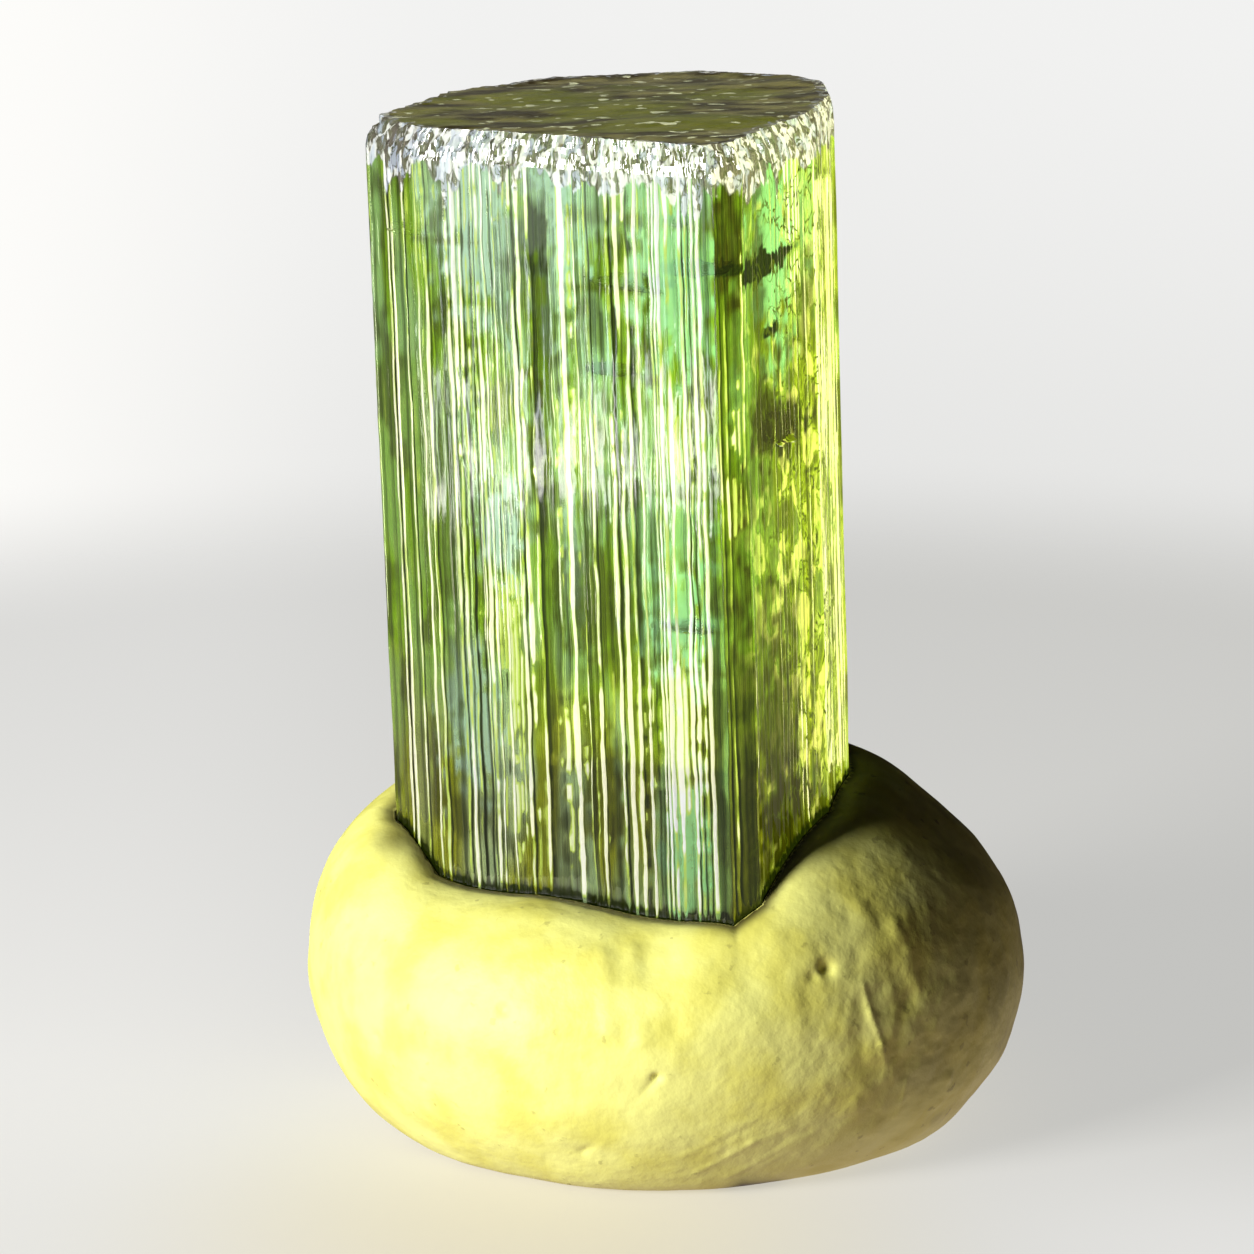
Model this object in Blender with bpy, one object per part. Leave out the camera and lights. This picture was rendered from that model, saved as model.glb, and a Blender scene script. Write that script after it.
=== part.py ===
"""A green tourmaline crystal standing in a lump of display putty.

Run it with: blender --background --python part.py, or from Blender's text editor.
Units are metres and +Z is up. The origin is the middle of the putty's flat underside.

The crystal is a prism. Its faces lie 30 degrees apart, as tourmaline's prism faces do, and their
unequal distances from the axis give the bulging three-cornered section. Fine ribs run along it,
the flat end has a worn and chipped rim, and the lower end is broken off inside the putty.
"""

import math
import random

import bmesh
import bpy
from mathutils import Matrix, Vector, noise

MM = 0.001
COLLECTION = "tourmaline_specimen"

# The crystal: the direction of each prism face, in degrees from +X, and its distance from the axis.
PRISM_FACES = {
    2: 8.48 * MM,
    32: 9.60 * MM,
    62: 9.15 * MM,
    92: 8.21 * MM,
    122: 7.95 * MM,
    152: 8.03 * MM,
    182: 8.63 * MM,
    212: 7.20 * MM,
    242: 5.40 * MM,
    302: 8.93 * MM,
    332: 7.80 * MM,
}
CRYSTAL_TOP = 38.6 * MM
CRYSTAL_FOOT = 4.2 * MM
CRYSTAL_AXIS_X = -1.22 * MM
CRYSTAL_AXIS_Y = -1.80 * MM
CRYSTAL_LEAN = math.radians(-1.9)

# Ribs along the prism, from the crest of one to the crest of the next.
RIB_WIDTH = (0.42 * MM, 0.85 * MM)
RIB_DEPTH = (0.05 * MM, 0.19 * MM)
RIB_LEVELS = 6

# The worn rim round the flat end: how far below the end it starts, and how far in it comes.
RIM_DROP = 0.85 * MM
RIM_INSET = 0.50 * MM
RIM_CHIP = 0.12 * MM
SHARP_RIM_DIRECTION = math.radians(15)
SHARP_RIM_SPREAD = math.radians(38)
SHARP_RIM_SHARE = 0.7

# The broken lower end.
BREAK_INSET = 0.9 * MM
BREAK_RELIEF = 0.5 * MM

# The putty: a ball pressed down on a table until it is wider than it is high.
LUMP_WIDTH = 27.3 * MM
LUMP_DEPTH = 25.8 * MM
LUMP_FULL_HEIGHT = 18.2 * MM
LUMP_MIDDLE_Z = 5.5 * MM
LUMP_TRIANGLE_LEVEL = 5
FOOT_ROUNDING = 0.25 * MM
FOOT_TRIM = 0.04 * MM

# Its handling marks: slow swells, smaller finger dents, and the collar pushed up round the crystal.
SWELL = 0.22 * MM
SWELL_PER_RADIUS = 1.6
DENT = 0.11 * MM
DENTS_PER_RADIUS = 4.3
COLLAR_HEIGHT = 0.20 * MM
COLLAR_AWAY = 1.7 * MM
COLLAR_SPREAD = 1.3 * MM
CREASE_DEPTH = 0.30 * MM
CREASE_SPREAD = 0.55 * MM

# The putty is pressed down along the crystal's broadest face, and swells out to the left of it.
SHELF_FACE = 242
SHELF_DEPTH = 2.4 * MM
SHELF_REACH = 3.2 * MM
SHELF_HALF_LENGTH = 6.5 * MM
SWELL_LEFT = 0.60 * MM
SWELL_LEFT_AT = Vector((-11.0, -1.0, 10.5)) * MM
SWELL_LEFT_SPREAD = 4.5 * MM

SOCKET_GAP = 0.3 * MM
SOCKET_ABOVE = 8.0 * MM

CRYSTAL_COLOUR = (0.30, 0.50, 0.05, 1.0)
CRYSTAL_ROUGHNESS = 0.08
CRYSTAL_IOR = 1.63
PUTTY_COLOUR = (0.86, 0.83, 0.33, 1.0)
PUTTY_ROUGHNESS = 0.62


def clear_scene():
    """Removes every object, so that the script gives the same result each time."""
    for obj in list(bpy.data.objects):
        bpy.data.objects.remove(obj, do_unlink=True)


def new_collection(name):
    """A collection of that name, linked to the scene."""
    collection = bpy.data.collections.new(name)
    bpy.context.scene.collection.children.link(collection)
    return collection


def plain_material(name, colour, roughness, transmission=0.0, ior=1.5):
    """A Principled material with one colour and one roughness, and no metal."""
    material = bpy.data.materials.new(name)
    material.use_nodes = True
    shader = material.node_tree.nodes["Principled BSDF"]
    shader.inputs["Base Color"].default_value = colour
    shader.inputs["Roughness"].default_value = roughness
    shader.inputs["Metallic"].default_value = 0.0
    shader.inputs["Transmission Weight"].default_value = transmission
    shader.inputs["IOR"].default_value = ior
    return material


def object_from_bmesh(bm, name, collection):
    """Writes a bmesh to a new object, with its faces pointing out."""
    bmesh.ops.recalc_face_normals(bm, faces=bm.faces)
    mesh = bpy.data.meshes.new(name)
    bm.to_mesh(mesh)
    bm.free()
    obj = bpy.data.objects.new(name, mesh)
    collection.objects.link(obj)
    return obj


def bump(distance, spread):
    """1 at a distance of 0, falling away smoothly over the spread."""
    return math.exp(-((distance / spread) ** 2))


def face_normal(degrees):
    """The unit vector, in the section's plane, that a prism face looks along."""
    angle = math.radians(degrees)
    return Vector((math.cos(angle), math.sin(angle)))


def prism_corners(grown_by=0.0):
    """Where neighbouring prism faces meet, going round the axis, with every face moved out by grown_by."""
    faces = sorted(PRISM_FACES.items())
    corners = []
    for (angle_a, distance_a), (angle_b, distance_b) in zip(faces, faces[1:] + faces[:1]):
        lines = Matrix((face_normal(angle_a), face_normal(angle_b)))
        distances = Vector((distance_a + grown_by, distance_b + grown_by))
        corners.append(lines.inverted() @ distances)
    return corners


def outside_prism(point):
    """How far a point of the section lies outside the prism, or less than 0 inside it."""
    return max(face_normal(a).dot(point) - d for a, d in PRISM_FACES.items())


def ribbed_outline(rng):
    """Points round the section as (point, inward direction, depth), crest and groove by turns."""
    corners = prism_corners()
    points = []
    for start, end in zip(corners, corners[1:] + corners[:1]):
        side = end - start
        inward = Vector((-side.y, side.x)).normalized()
        ribs = max(1, round(side.length / rng.uniform(*RIB_WIDTH)))
        crests = [0.0] + [(i + rng.uniform(-0.25, 0.25)) / ribs for i in range(1, ribs)] + [1.0]
        for here, beyond in zip(crests, crests[1:]):
            groove = here + (beyond - here) * rng.uniform(0.3, 0.7)
            points.append((start + side * here, inward, 0.0))
            points.append((start + side * groove, inward, rng.uniform(*RIB_DEPTH)))
    return points


def loft(bm, rings):
    """Skins a stack of rings that have the same number of points, and closes both ends."""
    column = bm.verts.layers.int.new("column")
    verts = [bm.verts.new(point) for point in rings[0]]
    for index, vert in enumerate(verts):
        vert[column] = index
    edges = [bm.edges.new(pair) for pair in zip(verts, verts[1:] + verts[:1])]
    bmesh.ops.contextual_create(bm, geom=edges)
    for ring in rings[1:]:
        made = bmesh.ops.extrude_edge_only(bm, edges=edges)["geom"]
        new_verts = {item for item in made if isinstance(item, bmesh.types.BMVert)}
        for vert in new_verts:
            vert.co = ring[vert[column]]
        edges = [
            item
            for item in made
            if isinstance(item, bmesh.types.BMEdge) and set(item.verts) <= new_verts
        ]
    bmesh.ops.contextual_create(bm, geom=edges)


def shrunk(point, inset):
    """A point of the section moved towards the axis by inset."""
    return point * (1.0 - inset / point.length)


def rim_wear(point):
    """How worn the rim is at a point of the section, from 1 down to the sharp side's share."""
    turn = math.atan2(point.y, point.x) - SHARP_RIM_DIRECTION
    return 1.0 - SHARP_RIM_SHARE * bump(turn, SHARP_RIM_SPREAD)


def crystal_rings(rng):
    """The crystal's rings from its broken foot to its flat end, with the foot at Z 0."""
    outline = ribbed_outline(rng)
    length = CRYSTAL_TOP - CRYSTAL_FOOT
    side_top = length - RIM_DROP
    side_foot = BREAK_INSET

    broken = []
    for point, _, _ in outline:
        z = BREAK_RELIEF * (0.5 + 0.5 * noise.noise(Vector((*point, 0.0)) / (3.0 * MM)))
        broken.append(Vector((*shrunk(point, BREAK_INSET), z)))
    rings = [broken]

    strengths = [[rng.uniform(0.55, 1.0) for _ in outline] for _ in range(RIB_LEVELS)]
    for level, strength in enumerate(strengths):
        z = side_foot + (side_top - side_foot) * level / (RIB_LEVELS - 1)
        ring = []
        for (point, inward, depth), share in zip(outline, strength):
            ring.append(Vector((*(point + inward * depth * share), z)))
        rings.append(ring)

    for drop_share, inset_share in ((0.35, 0.4), (0.0, 1.0)):
        ring = []
        for point, inward, depth in outline:
            wear = rim_wear(point)
            chip = rng.uniform(-1.0, 1.0) * RIM_CHIP * wear
            worn = shrunk(point + inward * depth * 0.5, RIM_INSET * inset_share * wear + chip)
            drop = RIM_DROP * drop_share * wear + (abs(chip) if drop_share else 0.0)
            ring.append(Vector((*worn, length - drop)))
        rings.append(ring)
    return rings


def place_as_crystal(obj):
    """Stands an object built on the crystal's own axis where the crystal stands."""
    obj.location = (CRYSTAL_AXIS_X, CRYSTAL_AXIS_Y, CRYSTAL_FOOT)
    obj.rotation_euler = (0.0, CRYSTAL_LEAN, 0.0)


def make_crystal(collection):
    """The tourmaline prism, with its lower end inside the putty."""
    bm = bmesh.new()
    loft(bm, crystal_rings(random.Random(11)))
    crystal = object_from_bmesh(bm, "tourmaline_crystal", collection)
    place_as_crystal(crystal)
    crystal.data.materials.append(
        plain_material("green_tourmaline", CRYSTAL_COLOUR, CRYSTAL_ROUGHNESS, 1.0, CRYSTAL_IOR)
    )
    return crystal


def make_socket_cutter(collection):
    """The prism grown by the gap, which leaves the crystal's seat in the putty."""
    outline = prism_corners(SOCKET_GAP)
    height = CRYSTAL_TOP - CRYSTAL_FOOT + SOCKET_ABOVE
    rings = [[Vector((*point, z)) for point in outline] for z in (-SOCKET_GAP, height)]
    bm = bmesh.new()
    loft(bm, rings)
    cutter = object_from_bmesh(bm, "socket_cutter", collection)
    place_as_crystal(cutter)
    cutter.hide_render = True
    cutter.display_type = "WIRE"
    return cutter


def push_by_crystal(point):
    """How far up the crystal has pushed the putty's skin at a point, or less than 0 for down."""
    height = point.z - CRYSTAL_FOOT
    axis = Vector((CRYSTAL_AXIS_X + height * math.sin(CRYSTAL_LEAN), CRYSTAL_AXIS_Y))
    from_axis = point.xy - axis
    away = max(0.0, outside_prism(from_axis))
    collar = COLLAR_HEIGHT * bump(away - COLLAR_AWAY, COLLAR_SPREAD)
    crease = CREASE_DEPTH * bump(away, CREASE_SPREAD)

    normal = face_normal(SHELF_FACE)
    from_face = normal.dot(from_axis) - PRISM_FACES[SHELF_FACE]
    along = normal.orthogonal().dot(from_axis) / SHELF_HALF_LENGTH
    shelf = SHELF_DEPTH * math.exp(-(along**4)) * bump(max(0.0, from_face), SHELF_REACH)
    if from_face < 0.0:
        shelf *= bump(from_face, SHELF_REACH)
    return collar - crease - shelf


def skin_point(direction):
    """The putty's skin in one direction from its middle, with the floor's push left out."""
    size = Vector((LUMP_WIDTH, LUMP_DEPTH, LUMP_FULL_HEIGHT)) / 2
    point = direction * size + Vector((0.0, 0.0, LUMP_MIDDLE_Z))
    handling = SWELL * noise.noise(direction * SWELL_PER_RADIUS + Vector((3.1, 0.4, 7.7)))
    handling += DENT * noise.noise(direction * DENTS_PER_RADIUS + Vector((9.2, 5.5, 1.3)))
    handling += SWELL_LEFT * bump((point - SWELL_LEFT_AT).length, SWELL_LEFT_SPREAD)
    point += direction * handling
    if direction.z > 0.0:
        point.z += push_by_crystal(point) * min(1.0, direction.z / 0.3)
    return point


def pressed_on_floor(z):
    """A height as the floor leaves it: nothing below 0, and a rounded edge where the two meet."""
    return FOOT_ROUNDING * math.log1p(math.exp(z / FOOT_ROUNDING)) - FOOT_TRIM


def make_putty(collection, cutter):
    """The putty lump, standing on its pressed foot, with the crystal's socket cut into it."""
    bm = bmesh.new()
    bmesh.ops.create_icosphere(bm, subdivisions=LUMP_TRIANGLE_LEVEL, radius=1.0)
    for vert in bm.verts:
        vert.co = skin_point(vert.co.normalized())
        vert.co.z = pressed_on_floor(vert.co.z)

    geometry = bm.verts[:] + bm.edges[:] + bm.faces[:]
    cut = bmesh.ops.bisect_plane(
        bm,
        geom=geometry,
        dist=0.00001 * MM,
        plane_co=(0.0, 0.0, 0.0),
        plane_no=(0.0, 0.0, 1.0),
        clear_inner=True,
    )["geom_cut"]
    foot_edges = [item for item in cut if isinstance(item, bmesh.types.BMEdge)]
    bmesh.ops.contextual_create(bm, geom=foot_edges)

    low = Vector(min(vert.co[axis] for vert in bm.verts) for axis in range(2))
    high = Vector(max(vert.co[axis] for vert in bm.verts) for axis in range(2))
    bmesh.ops.translate(bm, verts=bm.verts, vec=(*(-(low + high) / 2), 0.0))

    putty = object_from_bmesh(bm, "putty_base", collection)
    for polygon in putty.data.polygons:
        # The foot is one face with many corners, and the only flat one.
        polygon.use_smooth = len(polygon.vertices) <= 4
    socket = putty.modifiers.new("socket", "BOOLEAN")
    socket.operation = "DIFFERENCE"
    socket.object = cutter
    putty.data.materials.append(plain_material("display_putty", PUTTY_COLOUR, PUTTY_ROUGHNESS))
    return putty


def main():
    clear_scene()
    parts = new_collection(COLLECTION)
    cutters = new_collection("cutters")
    make_crystal(parts)
    cutter = make_socket_cutter(cutters)
    make_putty(parts, cutter)


main()
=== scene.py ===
"""A green tourmaline crystal in a lump of display putty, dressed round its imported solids.

The crystal is one closed mesh: ribbed prism walls, a hackly worn rim, a frosted flat end and a few
air-filled cracks inside. The putty is one closed mesh too, with its folds, dents, pits and the
fine ridges left by a fingertip. Lengths in the code are metres, and +Z is up.
"""

import math
import random
from collections import namedtuple

import bmesh
import bpy
from mathutils import Matrix, Vector, noise
from mathutils.bvhtree import BVHTree
from mathutils.geometry import intersect_point_line
from mathutils.kdtree import KDTree


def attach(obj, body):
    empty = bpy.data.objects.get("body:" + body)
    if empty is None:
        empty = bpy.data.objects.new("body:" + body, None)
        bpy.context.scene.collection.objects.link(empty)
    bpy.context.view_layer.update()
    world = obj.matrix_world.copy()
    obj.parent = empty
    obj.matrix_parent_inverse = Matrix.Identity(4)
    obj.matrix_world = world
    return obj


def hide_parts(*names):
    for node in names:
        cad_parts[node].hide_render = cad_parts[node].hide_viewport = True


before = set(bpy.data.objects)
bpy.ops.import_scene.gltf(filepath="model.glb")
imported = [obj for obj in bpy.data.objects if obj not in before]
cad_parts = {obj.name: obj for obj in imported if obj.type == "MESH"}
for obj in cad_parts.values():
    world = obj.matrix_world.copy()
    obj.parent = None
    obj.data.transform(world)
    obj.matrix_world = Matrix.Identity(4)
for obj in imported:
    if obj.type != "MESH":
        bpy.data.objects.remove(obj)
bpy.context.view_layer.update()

bl_info = {
    "name": "Tourmaline specimen",
    "version": (1, 0, 0),
    "blender": (4, 5, 0),
    "location": "View3D > Sidebar > Specimen",
    "description": "Grows a ribbed green tourmaline crystal, presses its putty and sets the studio",
    "category": "Add Mesh",
}

MM = 0.001
BODY = "root"
CRYSTAL_NODE = "tourmaline_crystal"
PUTTY_NODE = "putty_base"

# The prism's faces: the way each looks, in degrees from +X, its distance from the axis, its
# narrowest and widest rib, how much lighter its ribs' painted glints and groove shade are than
# most, and how much they stand out.
FRONT = 242
COARSE = (0.26 * MM, 0.80 * MM, 0.0, 1.0)
PRISM_FACES = {
    2: (8.48 * MM, 0.16 * MM, 0.50 * MM, 0.15, 0.8),
    32: (9.60 * MM, *COARSE),
    62: (9.15 * MM, *COARSE),
    92: (8.21 * MM, *COARSE),
    122: (7.95 * MM, *COARSE),
    152: (8.03 * MM, *COARSE),
    182: (8.63 * MM, 0.16 * MM, 0.50 * MM, 0.1, 1.0),
    212: (7.20 * MM, 0.18 * MM, 0.60 * MM, 0.08, 1.15),
    FRONT: (5.40 * MM, 0.12 * MM, 0.44 * MM, 0.0, 1.0),
    302: (8.93 * MM, 0.16 * MM, 0.42 * MM, -0.08, 0.7),
    332: (7.80 * MM, 0.16 * MM, 0.45 * MM, 0.1, 0.6),
    347: (7.88 * MM, 0.20 * MM, 0.40 * MM, 0.55, 0.35),
}

# Patches on the crystal's skin, by the mark that they change and by face: how far along and up the
# face in millimetres, half-length, half-height, and how much. A rib's tone is brighter with painted
# glitter where growth steps would glint, and dark where a fracture comes up under the skin.
PATCHES = {
    "rib_glint_and_shade": {
        FRONT: (
            (1.5, 23.4, 1.3, 1.6, 0.7), (5.5, 23.6, 1.4, 1.6, 0.7), (-1.7, 24.0, 1.1, 2.3, 0.7),
            (-1.8, 16.6, 0.9, 1.6, 1.0), (-1.3, 14.2, 0.5, 2.4, 1.0), (0.95, 20.4, 0.35, 2.6, 0.8),
            (0.8, 11.9, 0.45, 1.7, 1.0), (3.2, 13.7, 0.8, 1.4, 0.8), (5.4, 13.9, 0.9, 1.8, 1.0),
            (3.5, 11.8, 0.5, 1.7, 0.9), (5.3, 11.6, 0.8, 1.9, 1.0), (-1.3, 11.8, 0.35, 2.6, 0.8),
            (-1.7, 9.3, 0.5, 1.8, 0.8), (0.8, 8.8, 0.35, 1.8, 0.9), (-0.45, 9.0, 0.2, 1.6, 0.8),
            (2.0, 10.5, 0.15, 2.2, 0.8), (3.4, 9.4, 0.35, 2.4, 0.8), (1.1, 29.4, 0.3, 4.2, 1.0),
            (3.3, 32.6, 0.35, 1.6, 0.9), (4.8, 32.4, 1.3, 1.3, 0.7), (-0.9, 32.6, 0.9, 1.0, 0.7),
            (-3.0, 32.4, 1.0, 1.2, 0.6), (3.9, 29.0, 0.9, 1.2, 0.5), (-3.2, 27.6, 0.5, 2.6, 0.8),
            (-5.6, 26.0, 0.4, 2.6, 0.5), (-6.3, 20.5, 0.4, 2.4, 0.4), (-0.2, 31.0, 0.7, 1.3, -0.3),
            (3.1, 27.4, 0.1, 1.2, -0.8), (-0.2, 23.0, 0.35, 1.8, -0.35),
        ),
        302: (
            (-0.1, 30.0, 0.9, 0.12, -1.0), (-0.2, 24.3, 0.3, 1.0, 1.6), (0.0, 27.6, 0.1, 2.2, 1.8),
            (-0.4, 21.4, 0.7, 0.9, 0.7), (-0.4, 9.0, 1.6, 4.5, -0.15),
        ),
        332: (
            (-2.7, 29.75, 1.5, 0.32, -2.2), (-0.7, 29.95, 0.7, 0.11, -1.4),
            (-2.2, 27.35, 0.6, 0.13, -1.4), (-0.2, 31.8, 1.0, 2.6, 0.9),
        ),
        212: (
            (-3.3, 33.0, 0.12, 0.9, -1.4), (0.0, 30.7, 1.3, 0.25, -0.9),
            (0.2, 20.0, 0.4, 2.5, 0.4), (0.8, 29.0, 0.8, 1.6, 0.5),
        ),
    },
    "mint_share": {
        FRONT: (
            (-2.3, 31.0, 1.6, 3.2, 0.8), (0.9, 31.0, 0.8, 3.6, 0.9), (2.2, 32.0, 0.8, 1.3, 0.6),
            (5.6, 29.6, 1.5, 3.4, 1.1), (-1.8, 19.8, 0.8, 1.7, 0.9), (1.1, 19.4, 0.4, 2.4, 0.7),
            (5.2, 17.0, 1.3, 1.8, 1.1), (5.0, 20.5, 1.5, 1.6, 0.7), (5.35, 8.6, 0.9, 2.8, 0.75),
            (-3.3, 12.5, 1.1, 2.6, 0.6), (-5.9, 15.0, 0.5, 4.0, 0.4),
        ),
        332: ((-2.0, 31.0, 1.2, 4.2, 1.1), (0.6, 31.6, 1.2, 2.2, 0.5)),
        302: ((-0.2, 25.0, 0.4, 1.6, 0.4),),
    },
    "cloud_share": {
        FRONT: (
            (2.0, 17.4, 1.3, 2.2, 0.8), (2.9, 29.1, 1.9, 0.16, 0.8), (3.0, 31.7, 1.8, 0.3, 0.7),
            (6.0, 31.6, 1.0, 0.14, 0.6), (3.9, 26.0, 0.9, 0.12, 0.7), (-3.9, 30.4, 1.0, 0.11, 0.8),
            (5.8, 16.9, 1.0, 0.12, 0.8), (5.9, 15.3, 1.2, 0.14, 0.7), (1.9, 10.8, 0.9, 2.2, 0.7),
            (-0.2, 22.6, 0.4, 2.6, 0.8), (-4.4, 20.0, 0.9, 5.0, 0.5), (-0.3, 29.0, 0.9, 2.8, 0.7),
            (3.4, 9.0, 0.7, 2.6, 0.4), (-0.2, 8.6, 0.8, 2.4, 0.3), (-6.4, 22.0, 0.8, 5.5, 0.5),
        ),
        212: ((0.0, 16.0, 1.4, 9.0, 0.7),),
        302: (
            (-0.4, 31.2, 1.0, 2.0, 0.8), (-0.6, 26.0, 1.0, 4.5, 0.45),
            (-0.4, 19.0, 1.0, 3.0, 0.35), (0.0, 12.0, 1.8, 6.5, 0.5),
        ),
        332: (
            (-2.6, 11.5, 1.8, 5.5, 0.9), (-1.6, 23.6, 1.9, 0.75, 1.8), (-3.0, 24.6, 0.8, 0.7, 1.4),
            (0.2, 6.6, 3.4, 3.0, 0.8), (-3.2, 27.4, 0.35, 5.0, 0.8),
        ),
    },
}

# The faces round the back, whose skin is etched.
BACK = range(30, 160)
# The seed of the random ribs, the rows of points up the buried foot and the walls, and how far up
# the worn rim each of its rows is.
SEED = 11
FOOT_ROWS, WALL_ROWS = 5, 126
RIM_SHARES = (0.17, 0.33, 0.5, 0.67, 0.83, 1.0)

# What the skin's vertices tell the crystal's material.
MARKS = ("rib_glint_and_shade", "root_share", "mint_share", "cloud_share", "rim_share", "frost")

# Ribs painted with a highlight that shines along their whole length, by face: how far along it in
# millimetres, how bright.
BRIGHT_RIBS = {
    212: ((-3.31, 1.5),),
    FRONT: (
        (-4.9, 1.4), (-3.47, 1.2), (-2.35, 0.9), (-0.72, 1.0), (1.05, 1.5), (1.9, 1.0), (2.7, 1.1),
        (3.35, 1.2), (4.0, 1.0), (4.75, 1.2), (5.3, 1.2), (5.75, 1.3), (6.35, 1.4),
    ),
}

# Marks pressed into the putty, in millimetres: pits and dents are a place, a radius and a height
# above the skin, which is less than 0 for a hollow.
PITS = (
    ((-6.01, -11.12, 7.46), 0.24, -0.16), ((-11.85, -4.96, 8.74), 0.2, -0.14),
    ((-12.34, -4.12, 8.65), 0.18, -0.12), ((-10.72, -7.93, 5.32), 0.18, -0.1),
    ((-8.95, -9.55, 4.12), 0.16, -0.08), ((5.68, -10.83, 8.96), 0.3, -0.26),
    ((5.1, -11.05, 8.7), 0.22, -0.1), ((-0.49, -12.79, 5.47), 0.18, -0.14),
    ((-0.74, -11.38, 9.0), 1.1, -0.16), ((2.67, -11.56, 9.21), 1.1, -0.14),
    ((10.32, -8.07, 3.73), 0.26, 0.1), ((4.2, 11.6, 6.1), 0.26, -0.18),
    ((-7.4, 9.6, 4.4), 0.22, -0.14), ((11.9, 4.2, 7.2), 1.2, -0.16),
    ((-3.2, 11.9, 5.6), 1.3, -0.18),
)
# Folds, creases and ridges are two ends, a half-width and a height.
FOLDS = (
    ((-3.16, -11.58, 2.14), (-0.46, -12.8, 5.47), 0.16, -0.07),
    ((-1.35, -10.6, 9.53), (-0.99, -12.69, 6.84), 0.34, 0.07),
    ((-2.43, -10.78, 9.4), (-2.25, -12.47, 7.14), 0.3, 0.06),
    ((0.02, -10.74, 9.57), (0.15, -12.64, 7.2), 0.32, -0.06),
    ((3.8, -10.6, 9.9), (4.9, -12.2, 6.6), 0.35, 0.05),
    ((7.04, -10.5, 8.2), (7.26, -10.69, 7.19), 0.13, 0.06),
    ((7.26, -10.69, 7.19), (7.71, -10.69, 5.93), 0.13, 0.07),
    ((7.71, -10.69, 5.93), (7.94, -10.58, 5.0), 0.13, 0.07),
    ((8.71, -9.82, 4.26), (8.39, -9.45, 2.65), 0.14, 0.06),
    ((7.36, -9.29, 9.65), (8.65, -9.58, 7.26), 0.4, -0.07),
    ((8.22, -8.65, 9.82), (9.41, -9.18, 6.73), 0.36, 0.06),
    ((6.93, -8.77, 10.63), (7.72, -9.56, 8.79), 0.36, 0.05),
    ((6.1, -10.9, 6.4), (6.9, -10.95, 3.6), 0.4, 0.04),
    ((1.05, -11.34, 1.31), (3.03, -11.74, 2.62), 0.17, 0.03),
    ((3.03, -11.74, 2.62), (4.37, -11.54, 3.08), 0.17, 0.025),
    ((2.11, -10.83, 0.87), (4.64, -11.23, 2.54), 0.16, 0.026),
    ((0.35, -11.89, 2.1), (3.41, -12.07, 3.75), 0.18, 0.02),
    ((1.18, -11.93, 2.35), (3.88, -12.02, 4.0), 0.16, -0.02),
    ((3.39, -10.84, 1.35), (5.37, -11.1, 2.88), 0.17, 0.022),
    ((-12.4, -1.6, 10.1), (-10.3, -0.6, 11.7), 0.22, -0.12),
    ((-12.6, -2.6, 9.6), (-10.2, -1.9, 11.3), 0.24, -0.1),
    ((-12.2, -3.6, 9.4), (-10.0, -3.3, 10.9), 0.2, -0.07),
    ((-8.2, -10.6, 6.4), (-7.2, -10.3, 9.0), 0.4, -0.05),
    ((10.2, 6.2, 9.0), (11.3, 7.2, 5.0), 0.4, -0.12),
    ((-9.2, 8.2, 9.4), (-10.6, 7.4, 5.6), 0.35, 0.08),
    ((-1.0, 12.2, 8.0), (1.8, 12.4, 5.2), 0.3, -0.08),
)

# Air-filled cracks: centre on the crystal's own axes, half-lengths across and in, turn about Z and
# how steeply they dip.
CRACKS = (
    ((3.2, -6.6, 29.95), (1.1, 0.7), -28, 18),
    ((1.0, -5.6, 29.30), (1.5, 0.6), -28, 25),
    ((2.7, -6.9, 31.70), (0.5, 0.4), -28, 30),
    ((0.2, -5.4, 26.10), (1.0, 0.5), -28, 20),
    ((5.6, -4.6, 23.60), (1.2, 0.9), 62, 35),
    ((2.6, -6.9, 16.90), (0.9, 0.5), -28, 20),
    ((-7.0, -1.2, 30.60), (0.9, 0.5), -28, 20),
)

# Lights that reach the crystal alone, by the kind of ray that they reach it through: name, watts,
# width and height, the way a light stands from its aim in degrees round and up, its distance, its
# aim and its tint. Sizes and places are in millimetres.
CRYSTAL_LIGHTS = {
    "glossy": (
        ("veil", 0.009, (60, 26), 214, 0, 66, (-3, -5, 32), (0.82, 1.0, 0.76)),
        ("rim", 0.35, (60, 40), 236, 40, 160, (0, 0, 38), (1.0, 0.96, 1.0)),
        ("rim_right", 0.25, (50, 40), 320, 35, 160, (0, 0, 38), (1.0, 0.97, 1.0)),
        ("edge", 0.0028, (9, 30), 60, 0, 38, (7, 0, 14), (1.0, 1.0, 0.40)),
        ("end_sheen", 0.0070, (120, 70), 90, 16, 200, (0, 0, 38), (1.0, 1.0, 0.9)),
    ),
    "transmission": (
        ("back_left", 0.0014, (9, 26), 117, 0, 40, (0, 0, 15), (1.0, 1.0, 0.8)),
        ("back_middle", 0.0014, (7, 26), 88, 0, 40, (0, 0, 15), (1.0, 1.0, 0.8)),
        ("back_right", 0.0018, (6, 26), 70, 0, 40, (0, 0, 15), (1.0, 1.0, 0.8)),
    ),
    "diffuse": (
        ("right_fill", 0.76, (60, 60), 340, 12, 150, (0, 0, 22), (1.0, 0.97, 0.66)),
        ("low_fill", 0.028, (50, 10), 232, 0, 60, (0, -5, 8), (0.96, 0.98, 1.0)),
        ("end_fill", 0.15, (60, 60), 250, 70, 150, (0, 0, 38), (1.0, 0.98, 0.85)),
    ),
}
# The main light's size, way, distance and aim, given in the same way.
KEY_LIGHT = ((50, 50), 220, 17, 150, (0, 0, 14))
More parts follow.
